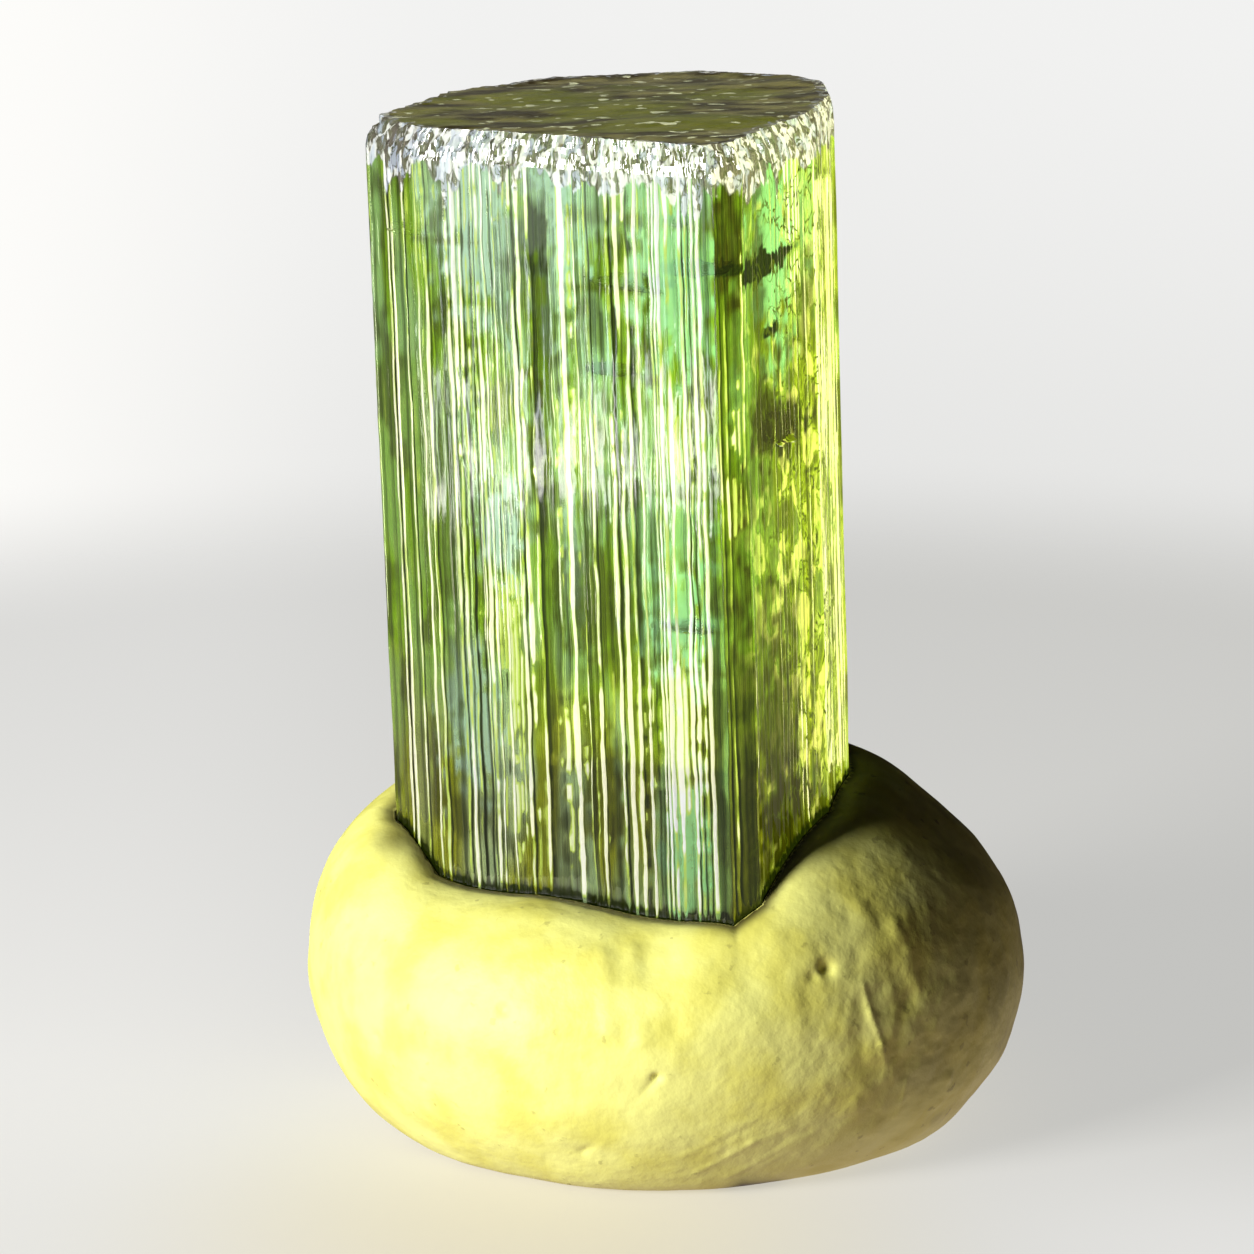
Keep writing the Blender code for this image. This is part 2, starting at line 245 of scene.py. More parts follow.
# Cards lying on the floor that the ribs' slopes mirror: name, watts, length and width, the way
# they lie from the axis in degrees, how far their middles are, and tint.
FLOOR_CARDS = (
    ("left_slopes", 0.048, (110, 10), 188, 122, (1.0, 1.0, 0.72)),
    ("flats", 0.020, (110, 6), 214, 120, (0.9, 0.95, 1.0)),
    ("right_slopes", 0.040, (110, 10), 241, 116, (1.0, 0.99, 0.93)),
)


class CrystalSettings(bpy.types.PropertyGroup):
    """The crystal's sizes and colours."""

    top: bpy.props.FloatProperty(
        name="Top", description="Height of the crystal's flat end at its axis", default=38.6 * MM,
        unit="LENGTH",
    )
    foot: bpy.props.FloatProperty(
        name="Foot", description="Height of the crystal's broken lower end", default=4.2 * MM,
        unit="LENGTH",
    )
    place: bpy.props.FloatVectorProperty(
        name="Place", description="Where the crystal's axis meets its foot, across and in", size=2,
        default=(-1.22 * MM, -1.80 * MM), unit="LENGTH",
    )
    lean: bpy.props.FloatProperty(
        name="Lean", description="How far the crystal leans to its left",
        default=math.radians(-1.9), subtype="ANGLE",
    )
    rib_depth: bpy.props.FloatProperty(
        name="Rib depth", description="Depth of the deepest groove between two ribs",
        default=0.075 * MM, unit="LENGTH",
    )
    rim_drop: bpy.props.FloatProperty(
        name="Rim drop", description="How far below the flat end the worn rim starts",
        default=1.10 * MM, unit="LENGTH",
    )
    rim_inset: bpy.props.FloatProperty(
        name="Rim inset", description="How far in the worn rim comes", default=0.50 * MM,
        unit="LENGTH",
    )
    green: bpy.props.FloatVectorProperty(
        name="Body colour", description="The green left of white light after 10 mm of crystal",
        size=3, subtype="COLOR", default=(0.86, 0.90, 0.60),
    )


class PuttySettings(bpy.types.PropertyGroup):
    """The putty's sizes."""

    size: bpy.props.FloatVectorProperty(
        name="Size", description="Width, depth and full height of the ball before it was pressed",
        size=3, default=(27.3 * MM, 25.8 * MM, 18.2 * MM), unit="LENGTH",
    )
    middle: bpy.props.FloatProperty(
        name="Middle", description="Height of the lump's middle", default=5.5 * MM, unit="LENGTH",
    )
    # How far the painted shade along the crystal reaches.
    painted_shade_reach: bpy.props.FloatProperty(
        name="Grime reach", description="How far from the crystal its line of grime reaches",
        default=0.48 * MM, unit="LENGTH",
    )


class StudioSettings(bpy.types.PropertyGroup):
    """The camera and the lights."""

    pitch: bpy.props.FloatProperty(
        name="Pitch", description="How far the camera looks down", default=math.radians(15.5),
        subtype="ANGLE",
    )
    distance: bpy.props.FloatProperty(
        name="Distance", description="From the camera to what it looks at", default=204.8 * MM,
        unit="LENGTH",
    )
    target: bpy.props.FloatVectorProperty(
        name="Target", description="The point that the camera looks at", size=3,
        default=(-1.46 * MM, 0.0, 18.68 * MM), unit="LENGTH",
    )
    key: bpy.props.FloatProperty(
        name="Key light", description="Power of the main light, in watts", default=0.36,
    )


GROUPS = {
    "specimen_crystal": CrystalSettings,
    "specimen_putty": PuttySettings,
    "specimen_studio": StudioSettings,
}


def settings():
    """The three groups of settings, as the scene holds them."""
    return [getattr(bpy.context.scene, name) for name in GROUPS]


# Materials


def linear(colour):
    """An sRGB hex colour as linear red, green, blue and alpha."""
    channels = [int(colour[i : i + 2], 16) / 255 for i in (1, 3, 5)]
    return (*[c / 12.92 if c <= 0.04045 else ((c + 0.055) / 1.055) ** 2.4 for c in channels], 1.0)


def add_node(tree, kind, values=None, **properties):
    """Adds a node with its properties, gives its inputs numbers, hex colours or other nodes'
    outputs, and returns its own outputs."""
    made = tree.nodes.new("ShaderNode" + kind)
    for name, value in properties.items():
        setattr(made, name, value)
    for key, value in (values or {}).items():
        if isinstance(value, bpy.types.NodeSocket):
            tree.links.new(value, made.inputs[key])
        else:
            made.inputs[key].default_value = linear(value) if isinstance(value, str) else value
    return made.outputs


def new_material(name):
    """A material and its tree, which is still empty."""
    material = bpy.data.materials.new(name)
    material.use_nodes = True
    material.node_tree.nodes.clear()
    return material, material.node_tree


# Makes a Map Range node smooth. Its inputs are 0 a value, 1 and 2 where that starts and ends, and
# 3 and 4 what the node gives there, which is 0 and 1 where they aren't set.
SMOOTH = {"interpolation_type": "SMOOTHSTEP"}


def painted(tree, colour, *coats):
    """Lays coats over a colour. A coat is its colour and the share of it to show, which may be a
    value with its start, where none shows, its end, where the most shows, and how much that is."""
    for paint, share, *span in coats:
        if span:
            inputs = {0: share, **dict(zip((1, 2, 4), span))}
            share = add_node(tree, "MapRange", inputs, **SMOOTH)[0]
        colour = add_node(tree, "Mix", {0: share, 6: colour, 7: paint}, data_type="RGBA")[2]
    return colour


def drawn_noise(tree, where, per_metre, detail, distortion=0.0, turn=0):
    """Noise with so many grains to a metre along each axis, turned in degrees about Z."""
    drawn = add_node(tree, "Mapping", {
        "Vector": where, "Scale": per_metre, "Rotation": (0.0, 0.0, math.radians(turn))})[0]
    return add_node(tree, "TexNoise", {
        "Vector": drawn, "Scale": 1.0, "Detail": detail, "Distortion": distortion})


def tourmaline_material(crystal):
    """Green elbaite tourmaline, as it grew: clear, with a glassy skin ribbed along its length. It
    is mint near the tip and olive near the root, and flaws in the skin scatter a little light."""
    material, tree = new_material("elbaite_tourmaline")
    # The crystal's own axes: unleaned, with Z 0 at its broken foot.
    own = add_node(tree, "Mapping", {
        "Vector": add_node(tree, "TexCoord")["Object"],
        "Location": (*crystal.place, crystal.foot),
        "Rotation": (0.0, crystal.lean, 0.0),
    }, vector_type="TEXTURE")[0]
    side, depth, _ = add_node(tree, "SeparateXYZ", {0: own})
    facing = add_node(tree, "SeparateXYZ", {0: add_node(tree, "NewGeometry")["Normal"]})[2]
    flat_end = add_node(tree, "MapRange", {0: facing, 1: 0.80, 2: 0.95}, **SMOOTH)[0]
    tone, root, mint_share, clouds, rim, frost = [
        add_node(tree, "Attribute", attribute_name=name)["Fac"] for name in MARKS
    ]

    # Healed cracks give the side painted yellower its flames, 0.7 by 1.4 mm, pale on one flank and
    # olive on the other, with dark outlines between. They are faint towards the back.
    flames = drawn_noise(tree, own, (1350, 1350, 700), 2.0, 1.1)[0]
    front = add_node(
        tree, "MapRange", {0: depth, 1: 1.5 * MM, 2: -2.5 * MM, 3: 0.25}, **SMOOTH)[0]
    where = add_node(tree, "MapRange", {0: side, 1: 4 * MM, 2: 6.4 * MM, 4: front}, **SMOOTH)[0]
    where = add_node(tree, "Math", {0: where, 1: 0.08}, operation="ADD", use_clamp=True)[0]
    outline = add_node(tree, "Math", {0: flames, 1: 0.505}, operation="SUBTRACT")[0]
    outline = add_node(tree, "Math", {0: outline}, operation="ABSOLUTE")[0]

    # The worn rim is bruised white, bluish and mauve-grey, 0.3 by 0.7 mm, with dark cracks between.
    # Its white spots are partly painted sparkle, for light glinting off its chips.
    bruises_and_sparkle = drawn_noise(tree, own, (3000, 3000, 1500), 3.0, 0.8)[0]
    others = drawn_noise(tree, own, (2400, 2400, 1200), 1.0)[1]
    _, bluish, spread = add_node(tree, "SeparateXYZ", {0: others})
    lit = add_node(tree, "Math", {0: tone, 1: 0.06, 2: bruises_and_sparkle}, operation="MULTIPLY_ADD")[0]
    gap = add_node(tree, "Math", {0: lit, 1: 0.475}, operation="SUBTRACT")[0]
    gap = add_node(tree, "Math", {0: gap}, operation="ABSOLUTE")[0]
    reach = add_node(tree, "Math", {0: spread, 1: 1.2, 2: rim}, operation="MULTIPLY_ADD")[0]
    rim_colour = painted(
        tree, "#766e68",
        ("#ffffff", lit, 0.48, 0.61),
        ("#d8e4ff", bluish, 0.50, 0.60, 0.6),
        ("#3f3b30", gap, 0.028, 0.0),
    )

    # The flat end is frosted: brown-olive mottled 0.7 by 1.8 mm, in places lime, and flecked with
    # painted glints where grains 0.4 by 0.9 mm catch light.
    mottle = drawn_noise(tree, own, (560, 1400, 400), 4.0, turn=-4)[0]
    lime = drawn_noise(tree, own, (150, 330, 100), 2.0)[0]
    flecks = drawn_noise(tree, own, (1150, 2400, 900), 1.5, turn=5)[0]
    end_colour = painted(
        tree, "#3b3112",
        ("#989059", mottle, 0.38, 0.66),
        ("#868c20", lime, 0.50, 0.62, 0.65),
        ("#fbffdc", flecks, 0.64, 0.68),
        (rim_colour, reach, 1.58, 1.66, 0.8),
    )

    # Lime body, olive root, the right side painted lighter and yellower for the light that shines
    # through it there, with its flames, mint veils near the tip, dark clouds, and then each rib's
    # painted groove shade and painted crest glint, and the rim and the flat end over all.
    colour = painted(
        tree, "#78a412",
        ("#80860a", root),
        # Painted light: the right side is lighter and yellower, as if lit through.
        ("#b7cf24", side, 4.6 * MM, 7.2 * MM, 0.8),
        ("#6e8012", flames, 0.50, 0.38, where),
        ("#eaf27a", flames, 0.52, 0.62, where),
        (painted(tree, "#b0d4c4", ("#92dc8c", side, -4 * MM, 4 * MM)), mint_share),
        ("#3a3e04", clouds),
        # Painted shade in the grooves, and dark fractures; then painted glints on the crests, paler
        # where mint.
        ("#1c2603", tone, 0.03, -0.54),
        ("#c2da58", tone, 0.25, 0.60),
        (painted(tree, "#fffdd8", ("#f4f8ff", mint_share)), tone, 0.50, 0.90),
        ("#4c5a0a", outline, 0.024, 0.006, where),
        (rim_colour, reach, 1.02, 1.20, 0.9),
        (end_colour, flat_end),
    )

    # Etched grit on the flat end, finer in truth than the 0.4 mm that it takes to show.
    grit = drawn_noise(tree, own, (2300, 2300, 2300), 2.0)[0]
    relief = add_node(tree, "MapRange", {0: grit, 1: 0.36, 2: 0.64, 4: flat_end}, **SMOOTH)[0]
    # The skin is glassy in front, etched behind and frosted on the flat end.
    roughness = add_node(tree, "Mix", {0: frost, 2: 0.06, 3: 0.32})[0]
    shader = add_node(tree, "BsdfPrincipled", {
        "Base Color": colour,
        "Roughness": add_node(tree, "Mix", {0: flat_end, 2: roughness, 3: 0.40})[0],
        "Metallic": 0.0,
        "IOR": 1.63,
        "Transmission Weight": 0.60,
        "Normal": add_node(tree, "Bump", {
            "Strength": 0.5, "Distance": 0.04 * MM, "Height": relief})[0],
    })[0]
    # The absorption's colour and density that leave crystal.green after 10 mm.
    density = 100.0
    left = [max(0.0, 1.0 + math.log(share) / (10 * MM) / density) for share in crystal.green]
    body = add_node(tree, "VolumeAbsorption", {"Color": (*left, 1.0), "Density": density})[0]
    add_node(tree, "OutputMaterial", {"Surface": shader, "Volume": body})
    return material


def putty_material():
    """Soft oily display putty, rolled and pressed by hand: pale yellow and matte, mottled 2.4 mm
    coarse, with a skin's grain of 0.7 mm, specks of dirt, and painted shade where it meets the
    crystal and on its shaded side."""
    material, tree = new_material("display_putty")
    place = add_node(tree, "TexCoord")["Object"]
    mottle = drawn_noise(tree, place, (420, 420, 420), 4.0)[0]
    grain = drawn_noise(tree, place, (1500, 1500, 1500), 5.0)[0]
    skin = add_node(tree, "MapRange", {0: grain}, **SMOOTH)[0]
    colour = painted(
        tree, "#f6f58a",
        ("#e8e36c", mottle, 0.36, 0.68),
        # Painted shade: the crease along the crystal, the shadow under the lip at its left corner,
        # and patches on the putty's shaded right side.
        ("#3d3508", add_node(tree, "Attribute", attribute_name="painted_shade")["Fac"]),
        ("#8f8840", skin, 0.72, 0.80, 0.4),
    )
    shader = add_node(tree, "BsdfPrincipled", {
        "Base Color": colour,
        "Roughness": 0.58,
        "Metallic": 0.0,
        "IOR": 1.45,
        "Normal": add_node(tree, "Bump", {
            "Strength": 0.5, "Distance": 0.09 * MM, "Height": skin})[0],
    })[0]
    add_node(tree, "OutputMaterial", {"Surface": shader})
    return material


# The crystal


def bump_shape(distance, spread):
    """1 at a distance of 0, falling away smoothly over the spread."""
    return math.exp(-((distance / spread) ** 2))


def looks_along(degrees):
    """The unit vector, in the section's plane, that a prism face looks along."""
    return Vector((math.cos(math.radians(degrees)), math.sin(math.radians(degrees))))


def prism_corners(grown_by=0.0):
    """Where neighbouring prism faces meet, going round the axis, all moved out by grown_by."""
    faces = sorted((degrees, values[0]) for degrees, values in PRISM_FACES.items())
    corners = []
    for (first, near), (second, far) in zip(faces, faces[1:] + faces[:1]):
        lines = Matrix((looks_along(first), looks_along(second)))
        corners.append(lines.inverted() @ Vector((near + grown_by, far + grown_by)))
    return corners


# A line of points up the wall: where it is, the way in, how deep it lies, how light its painted
# glint or shade is, whether it is on a rib's crest and not in a groove, its face, and its rib's
# number.
Column = namedtuple("Column", "point inward depth tone crest face rib")


def crest_glint_and_groove_shade(rng):
    """Painted glint on a rib's crest and painted shade in its groove. One rib in four shines, and
    some hardly show.
    """
    kind = rng.random()
    if kind < 0.27:
        return rng.uniform(0.5, 1.1), -rng.uniform(0.5, 1.0)
    if kind < 0.60:
        return rng.uniform(0.05, 0.4), -rng.uniform(0.1, 0.8)
    return rng.uniform(-0.5, 0.10), -rng.uniform(0.0, 0.5)


def ribbed_section(rng, depth):
    """The columns of points that the walls are made of, going round the section. Each rib is
    three of them: both sides of its worn crest, and the groove after it. A bright rib is a thin
    ridge on a plain step, so it has a fourth."""
    corners = prism_corners()
    degrees = sorted(PRISM_FACES)
    columns = []
    rib = 0
    for index, (start, end) in enumerate(zip(corners, corners[1:] + corners[:1])):
        face = degrees[(index + 1) % len(degrees)]
        _, narrow, wide, bias, contrast = PRISM_FACES[face]
        side = end - start
        step = side.normalized()
        inward = Vector((-step.y, step.x))
        from_middle = looks_along(face + 90).dot(start)
        crest = 0.0
        while crest < side.length:
            width = min(narrow + (wide - narrow) * rng.random() ** 1.6, side.length - crest)
            coarse = noise.noise(Vector((crest / (1.1 * MM), index * 7.3, 0.0)))
            level = max(0.0, depth * (0.35 + 0.65 * coarse) * min(1.0, crest / narrow))
            # A crest's worn tone is a painted glint, and its groove's dark tone is painted shade.
            worn, dark = [bias + contrast * tone for tone in crest_glint_and_groove_shade(rng)]
            for place, brightness in BRIGHT_RIBS.get(face, ()):
                if abs(from_middle + crest - place * MM) < width / 2:
                    worn = brightness
            flat = width * rng.uniform(0.08, 0.40)
            tilted = level + depth * rng.uniform(0.0, 0.25)
            groove = flat + (width - flat) * rng.uniform(0.3, 0.7)
            sunk = level + depth * rng.uniform(0.15, 0.7)
            body = rng.uniform(-0.15, 0.15)
            profile = [(0.0, level, worn), (flat, tilted, worn), (groove, sunk, dark)]
            if worn > 0.4 and narrow < 0.2 * MM:
                flank = min(0.05 * MM, 0.2 * width)
                flat = flank + min(0.3 * width, (0.02 + 0.06 * worn) * MM)
                profile = [
                    (0.0, tilted, body), (flank, level, worn), (flat, level, worn),
                    (flat + flank, sunk, dark),
                ]
            for across, deep, tone in profile:
                point = start + step * (crest + across)
                columns.append(Column(point, inward, deep, tone, deep != sunk, face, rib))
            rib += 1
            crest += width
            if side.length - crest < narrow * 0.6:
                break
    return columns


def rim_wear(point):
    """How worn the rim is at a point of the section, from 1 down to the sharp side's 0.3."""
    turn = math.atan2(point.y, point.x) - math.radians(15)
    return 1.0 - 0.7 * bump_shape(turn, math.radians(38))


def near_patches(point, face):
    """The patches that may cover a column of the section, by the mark that they change."""
    along = looks_along(face + 90).dot(point) / MM
    return {
        mark: [
            (middle - along, height, half_length, half_height, amount)
            for middle, height, half_length, half_height, amount in patches.get(face, ())
            if abs(middle - along) < 2.6 * half_length
        ]
        for mark, patches in PATCHES.items()
    }


def patch_amount(point, z, patches):
    """How much the patches that cover a point of the section change a mark at a height."""
    if not patches:
        return 0.0
    shift = noise.noise(Vector((*point, z)) / (0.5 * MM)) * 0.9
    shift += noise.noise(Vector((*point, z * 0.2)) / (0.2 * MM)) * 0.7
    total = 0.0
    for along, height, half_length, half_height, amount in patches:
        away = math.hypot(along / half_length, (z / MM - height) / half_height) + shift
        total += amount * max(0.0, min(1.0, 2.0 - 1.4 * away))
    return max(-1.0, min(1.0, total))


def smooth_step(value, low, high):
    """0 where value is low, 1 where it is high, and smooth between."""
    share = max(0.0, min(1.0, (value - low) / (high - low)))
    return share * share * (3.0 - 2.0 * share)


def rib_glint_and_shade(column, height, patch):
    """How bright a rib's crest is with its painted glint at a height in millimetres, or how dark
    its groove is with painted shade.
    """
    tone = column.tone
    if tone > 0.0:
        tone *= 0.75 + 1.1 * noise.noise(Vector((column.rib * 3.7, 0.0, height / 7.0)))
        tone *= 1.0 + 0.7 * noise.noise(Vector((column.rib * 5.3, 3.0, height / 1.1)))
        lifted = 0.50 + 0.80 * min(1.0, column.tone)
    else:
        lifted = 1.0 if column.crest else 0.45
    return tone + lifted * max(0.0, patch) + 1.3 * min(0.0, patch)


def skin_marks(column, z, patches, contact, length):
    """What the material reads at a point of the skin, in the order of MARKS."""
    face = column.face
    x, y, height = column.point.x / MM, column.point.y / MM, z / MM
    along = looks_along(face + 90).dot(column.point) / MM
    patch, mint_patch, cloud_patch = [
        patch_amount(column.point, z, patches[mark]) for mark in PATCHES
    ]
    tone = rib_glint_and_shade(column, height, patch) * (1.0 - 0.2 * max(0.0, mint_patch))
    # Painted shade darkens the skin in a line just above where the putty meets it.
    tone -= 1.3 * bump_shape(height - contact / MM, 0.28)

    ragged = noise.noise(Vector((x / 1.6, y / 1.6, height / 3.0)))
    root = smooth_step(height + 4.0 * ragged, 17.5, 8.0)
    veil = noise.noise(Vector((x / 1.1 + 5.0, y / 1.1, height / 5.0)))
    upper = smooth_step(height + 0.8 * ragged, 25.4, 25.9)
    mint = smooth_step(veil, -0.20, 0.20) * (0.36 + 0.40 * upper)
    mint *= 0.3 + 0.7 * smooth_step(along, -5.5, -1.5) if face == FRONT else 0.3
    dark = noise.noise(Vector((x / 1.3, y / 1.3 + 9.0, height / 2.6)))
    dark += 0.5 * noise.noise(Vector((x / 0.45, y / 0.45, height / 0.9)))
    zoning = noise.noise(Vector((x / 9.0, y / 9.0, height / 0.45)))
    cloud = 0.70 * smooth_step(dark + 0.12 * zoning, 0.0, 0.36)
    cloud = max(cloud * (1.0 - max(0.0, mint_patch)), cloud_patch)
    mint = max(mint * (1.0 - max(0.0, cloud_patch)), mint_patch)
    run_down = 1.7 * max(0.0, noise.noise(Vector((column.rib * 2.9, 7.0, 0.0))))
    rim = smooth_step(
        height + 0.7 * ragged + 0.6 * dark + run_down, length / MM - 2.2, length / MM - 0.8
    )
    return tone, root, mint, cloud, rim, float(face in BACK)


def contact_heights(section, crystal):
    """How high up each column of the section the putty reaches, found by a ray that falls down the
    wall, just outside it."""
    lump = bpy.data.objects["putty_lump"]
    skin = BVHTree.FromObject(lump, bpy.context.evaluated_depsgraph_get())
    stand = Matrix.Translation((*crystal.place, crystal.foot)) @ Matrix.Rotation(
        crystal.lean, 4, "Y")
    down = stand.to_3x3() @ Vector((0.0, 0.0, -1.0))
    above = 20 * MM
    heights = []
    for column in section:
        start = stand @ Vector((*(column.point - column.inward * 0.25 * MM), above))
        _, _, _, fall = skin.ray_cast(start, down)
        heights.append(above - (fall or above))
    return heights


def crystal_rings(crystal, section):
    """The crystal's rings from its foot to the edge of its flat end, with the foot at Z 0. A ring
    lists each point with its skin marks."""
    length = crystal.top - crystal.foot
    contacts = contact_heights(section, crystal)
    patches = [near_patches(column.point, column.face) for column in section]

    foot = []
    for column, near in zip(section, patches):
        rough = noise.noise(Vector((*column.point, 0.0)) / (3.0 * MM))
        place = Vector((*(column.point * 0.90), 0.5 * MM * (0.5 + 0.5 * rough)))
        foot.append((place, skin_marks(column, 0.0, near, 0.0, length)))
    rings = [foot]

    heights = [0.9 * MM + i * 1.1 * MM for i in range(FOOT_ROWS)]
    step = (length - crystal.rim_drop - heights[-1]) / WALL_ROWS
    heights += [heights[-1] + step * (i + 1) for i in range(WALL_ROWS)]
    for z in heights:
        ring = []
        for column, near, contact in zip(section, patches, contacts):
            point = column.point
            swells = noise.noise(Vector((point.x, point.y, z * 0.30)) / (1.3 * MM)) * 0.030 * MM
            fade = 1.0 + 0.35 * noise.noise(Vector((column.rib * 2.3, 0.0, z / (5.0 * MM))))
            wander = noise.noise(Vector((point.x, point.y, z * 0.22)) / (0.40 * MM)) * 0.075
            wander += noise.noise(Vector((point.x, point.y, z * 0.40)) / (0.16 * MM)) * 0.020
            place = point + column.inward * (column.depth * fade + swells)
            place += column.inward.orthogonal() * wander * MM
            ring.append((Vector((*place, z)), skin_marks(column, z, near, contact, length)))
        rings.append(ring)

    for share in RIM_SHARES:
        ring = []
        for column, (_, marks) in zip(section, rings[len(heights)]):
            point = column.point
            wear = rim_wear(point)
            chip = noise.noise(Vector((point.x, point.y, share * MM)) / (0.42 * MM)) * 0.30 * MM
            chip += noise.noise(Vector((point.x, point.y, share * MM)) / (0.15 * MM)) * 0.07 * MM
            inset = crystal.rim_inset * wear * share**1.6 + abs(chip) * wear * (0.3 + share)
            worn = point + column.inward * column.depth * (1.0 - share)
            worn *= 1.0 - inset / worn.length
            drop = crystal.rim_drop * (1.0 - share) * wear
            if share < 1.0:
                drop += abs(chip) * 0.6
            ring.append((Vector((*worn, length - drop)), (*marks[:4], 1.0, marks[5])))
        rings.append(ring)

    rings.append([
        (Vector((place.x * 0.96, place.y * 0.96, length)), marks) for place, marks in rings[-1]
    ])
    return rings


def loft(bm, rings, rim_rings=0):
    """Skins a stack of rings and closes both ends. Ribs keep sharp edges, and so do the rim's
    rings, which are under the last."""
    column = bm.verts.layers.int.new("column")
    layers = [bm.verts.layers.float.new(name) for name in MARKS]
    verts = [bm.verts.new(point) for point, _ in rings[0]]
    for index, vert in enumerate(verts):
        vert[column] = index
    edges = [bm.edges.new(pair) for pair in zip(verts, verts[1:] + verts[:1])]
    bmesh.ops.contextual_create(bm, geom=edges)
    for number, ring in enumerate(rings[1:], start=1):
        made = bmesh.ops.extrude_edge_only(bm, edges=edges)["geom"]
        new_verts = {item for item in made if isinstance(item, bmesh.types.BMVert)}
        for vert in new_verts:
            vert.co, marks = ring[vert[column]]
            for layer, mark in zip(layers, marks):
                vert[layer] = mark
        new_edges = [item for item in made if isinstance(item, bmesh.types.BMEdge)]
        edges = [edge for edge in new_edges if set(edge.verts) <= new_verts]
        for edge in new_edges:
            edge.smooth = False
        if number < len(rings) - rim_rings - 2:
            for edge in edges:
                edge.smooth = True
    bmesh.ops.contextual_create(bm, geom=edges)


def etch_flat_end(bm, length):
    """Cuts the flat end into small cells and etches low ledges and pits into it."""
    rim_share = bm.verts.layers.float["rim_share"]
    cap = max(bm.faces, key=lambda face: (len(face.verts), face.calc_center_median().z))
    geom = [cap, *cap.edges, *cap.verts]
    cell_width, cell_depth = 0.55 * MM, 0.26 * MM
    cuts = [((0.0, i * cell_depth, 0.0), (0.03, 1.0, 0.0)) for i in range(-38, 39)]
    cuts += [((i * cell_width, 0.0, 0.0), (1.0, 0.0, 0.0)) for i in range(-17, 18)]
    for place, along in cuts:
        geom = bmesh.ops.bisect_plane(
            bm, geom=geom, dist=0.001 * MM, plane_co=place, plane_no=along
        )["geom"]
    cells = {item for item in geom if isinstance(item, bmesh.types.BMFace)}
    for item in geom:
        if isinstance(item, bmesh.types.BMVert) and set(item.link_faces) <= cells:
            x, y, _ = item.co / MM
            ledge = math.floor(noise.noise(Vector((x * 0.16, y * 0.55, 3.0))) * 7.0) * 0.022
            pits = 0.03 * noise.noise(Vector((x * 0.9, y * 2.4, 8.0)))
            item.co.z = length + (ledge + pits) * MM
            item[rim_share] = 0.0
    for cell in cells:
        for edge in cell.edges:
            edge.smooth = True


def add_crack(bm, centre, reach, turn, dip, rng):
    """An air-filled crack: a thin ragged lens whose faces look into the air inside it."""
    made = bmesh.ops.create_icosphere(bm, subdivisions=4, radius=1.0)["verts"]
    offset = Vector((rng.uniform(-9, 9), rng.uniform(-9, 9), rng.uniform(-9, 9)))
    for vert in made:
        rim = 1.0 + 0.45 * noise.noise(vert.co * 2.3 + offset)
        lift = 0.10 * noise.noise(Vector((vert.co.x, vert.co.y, 0.0)) * 1.7 + offset)
        vert.co = Vector((
            vert.co.x * rim * reach[0],
            vert.co.y * rim * reach[1],
            vert.co.z * 0.035 + lift * reach[0] + 0.012 * noise.noise(vert.co * 6.0),
        )) * MM
    bmesh.ops.rotate(bm, verts=made, matrix=Matrix.Rotation(math.radians(dip), 3, "X"))
    bmesh.ops.rotate(bm, verts=made, matrix=Matrix.Rotation(math.radians(turn), 3, "Z"))
    bmesh.ops.translate(bm, verts=made, vec=Vector(centre) * MM)
    faces = list({face for vert in made for face in vert.link_faces})
    bmesh.ops.reverse_faces(bm, faces=faces)


def stand_as_crystal(bm, crystal):
    """Leans a mesh built on the crystal's own axes, and puts it where the crystal stands."""
    bmesh.ops.rotate(bm, verts=bm.verts, matrix=Matrix.Rotation(crystal.lean, 3, "Y"))
    bmesh.ops.translate(bm, verts=bm.verts, vec=(*crystal.place, crystal.foot))


def object_from(bm, name, material=None, smooth=True):
    """Writes a bmesh to a new object in the scene."""
    mesh = bpy.data.meshes.new(name)
    bm.to_mesh(mesh)
    bm.free()
    if material:
        mesh.materials.append(material)
    for polygon in mesh.polygons:
        polygon.use_smooth = smooth
    obj = bpy.data.objects.new(name, mesh)
    bpy.context.scene.collection.objects.link(obj)
    return obj


class SPECIMEN_OT_crystal(bpy.types.Operator):
    """Grows the ribbed tourmaline prism with its worn rim, frosted end and inner cracks."""

    bl_idname = "specimen.crystal"
    bl_label = "Grow the crystal"

    def execute(self, context):
        crystal, _, _ = settings()
        rng = random.Random(SEED)
        bm = bmesh.new()
        loft(bm, crystal_rings(crystal, ribbed_section(rng, crystal.rib_depth)), len(RIM_SHARES))
        etch_flat_end(bm, crystal.top - crystal.foot)
        bmesh.ops.recalc_face_normals(bm, faces=bm.faces)
        for centre, reach, turn, dip in CRACKS:
            add_crack(bm, centre, reach, turn, dip, rng)
        stand_as_crystal(bm, crystal)
        made = object_from(bm, "tourmaline_prism", tourmaline_material(crystal))
        made.visible_diffuse = False
        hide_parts(CRYSTAL_NODE)
        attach(made, BODY)
        return {"FINISHED"}


# The putty


PRISM_WALLS = [(looks_along(face), values[0]) for face, values in PRISM_FACES.items()]


def outside_prism(point):
    """How far a point of the section lies outside the prism, or less than 0 inside it."""
    return max([normal.dot(point) - distance for normal, distance in PRISM_WALLS])


def from_axis(point, crystal):
    """How far across and in a point lies from the leaning crystal's axis."""
    axis = Vector(crystal.place)
    axis.x += (point.z - crystal.foot) * math.sin(crystal.lean)
    return point.xy - axis


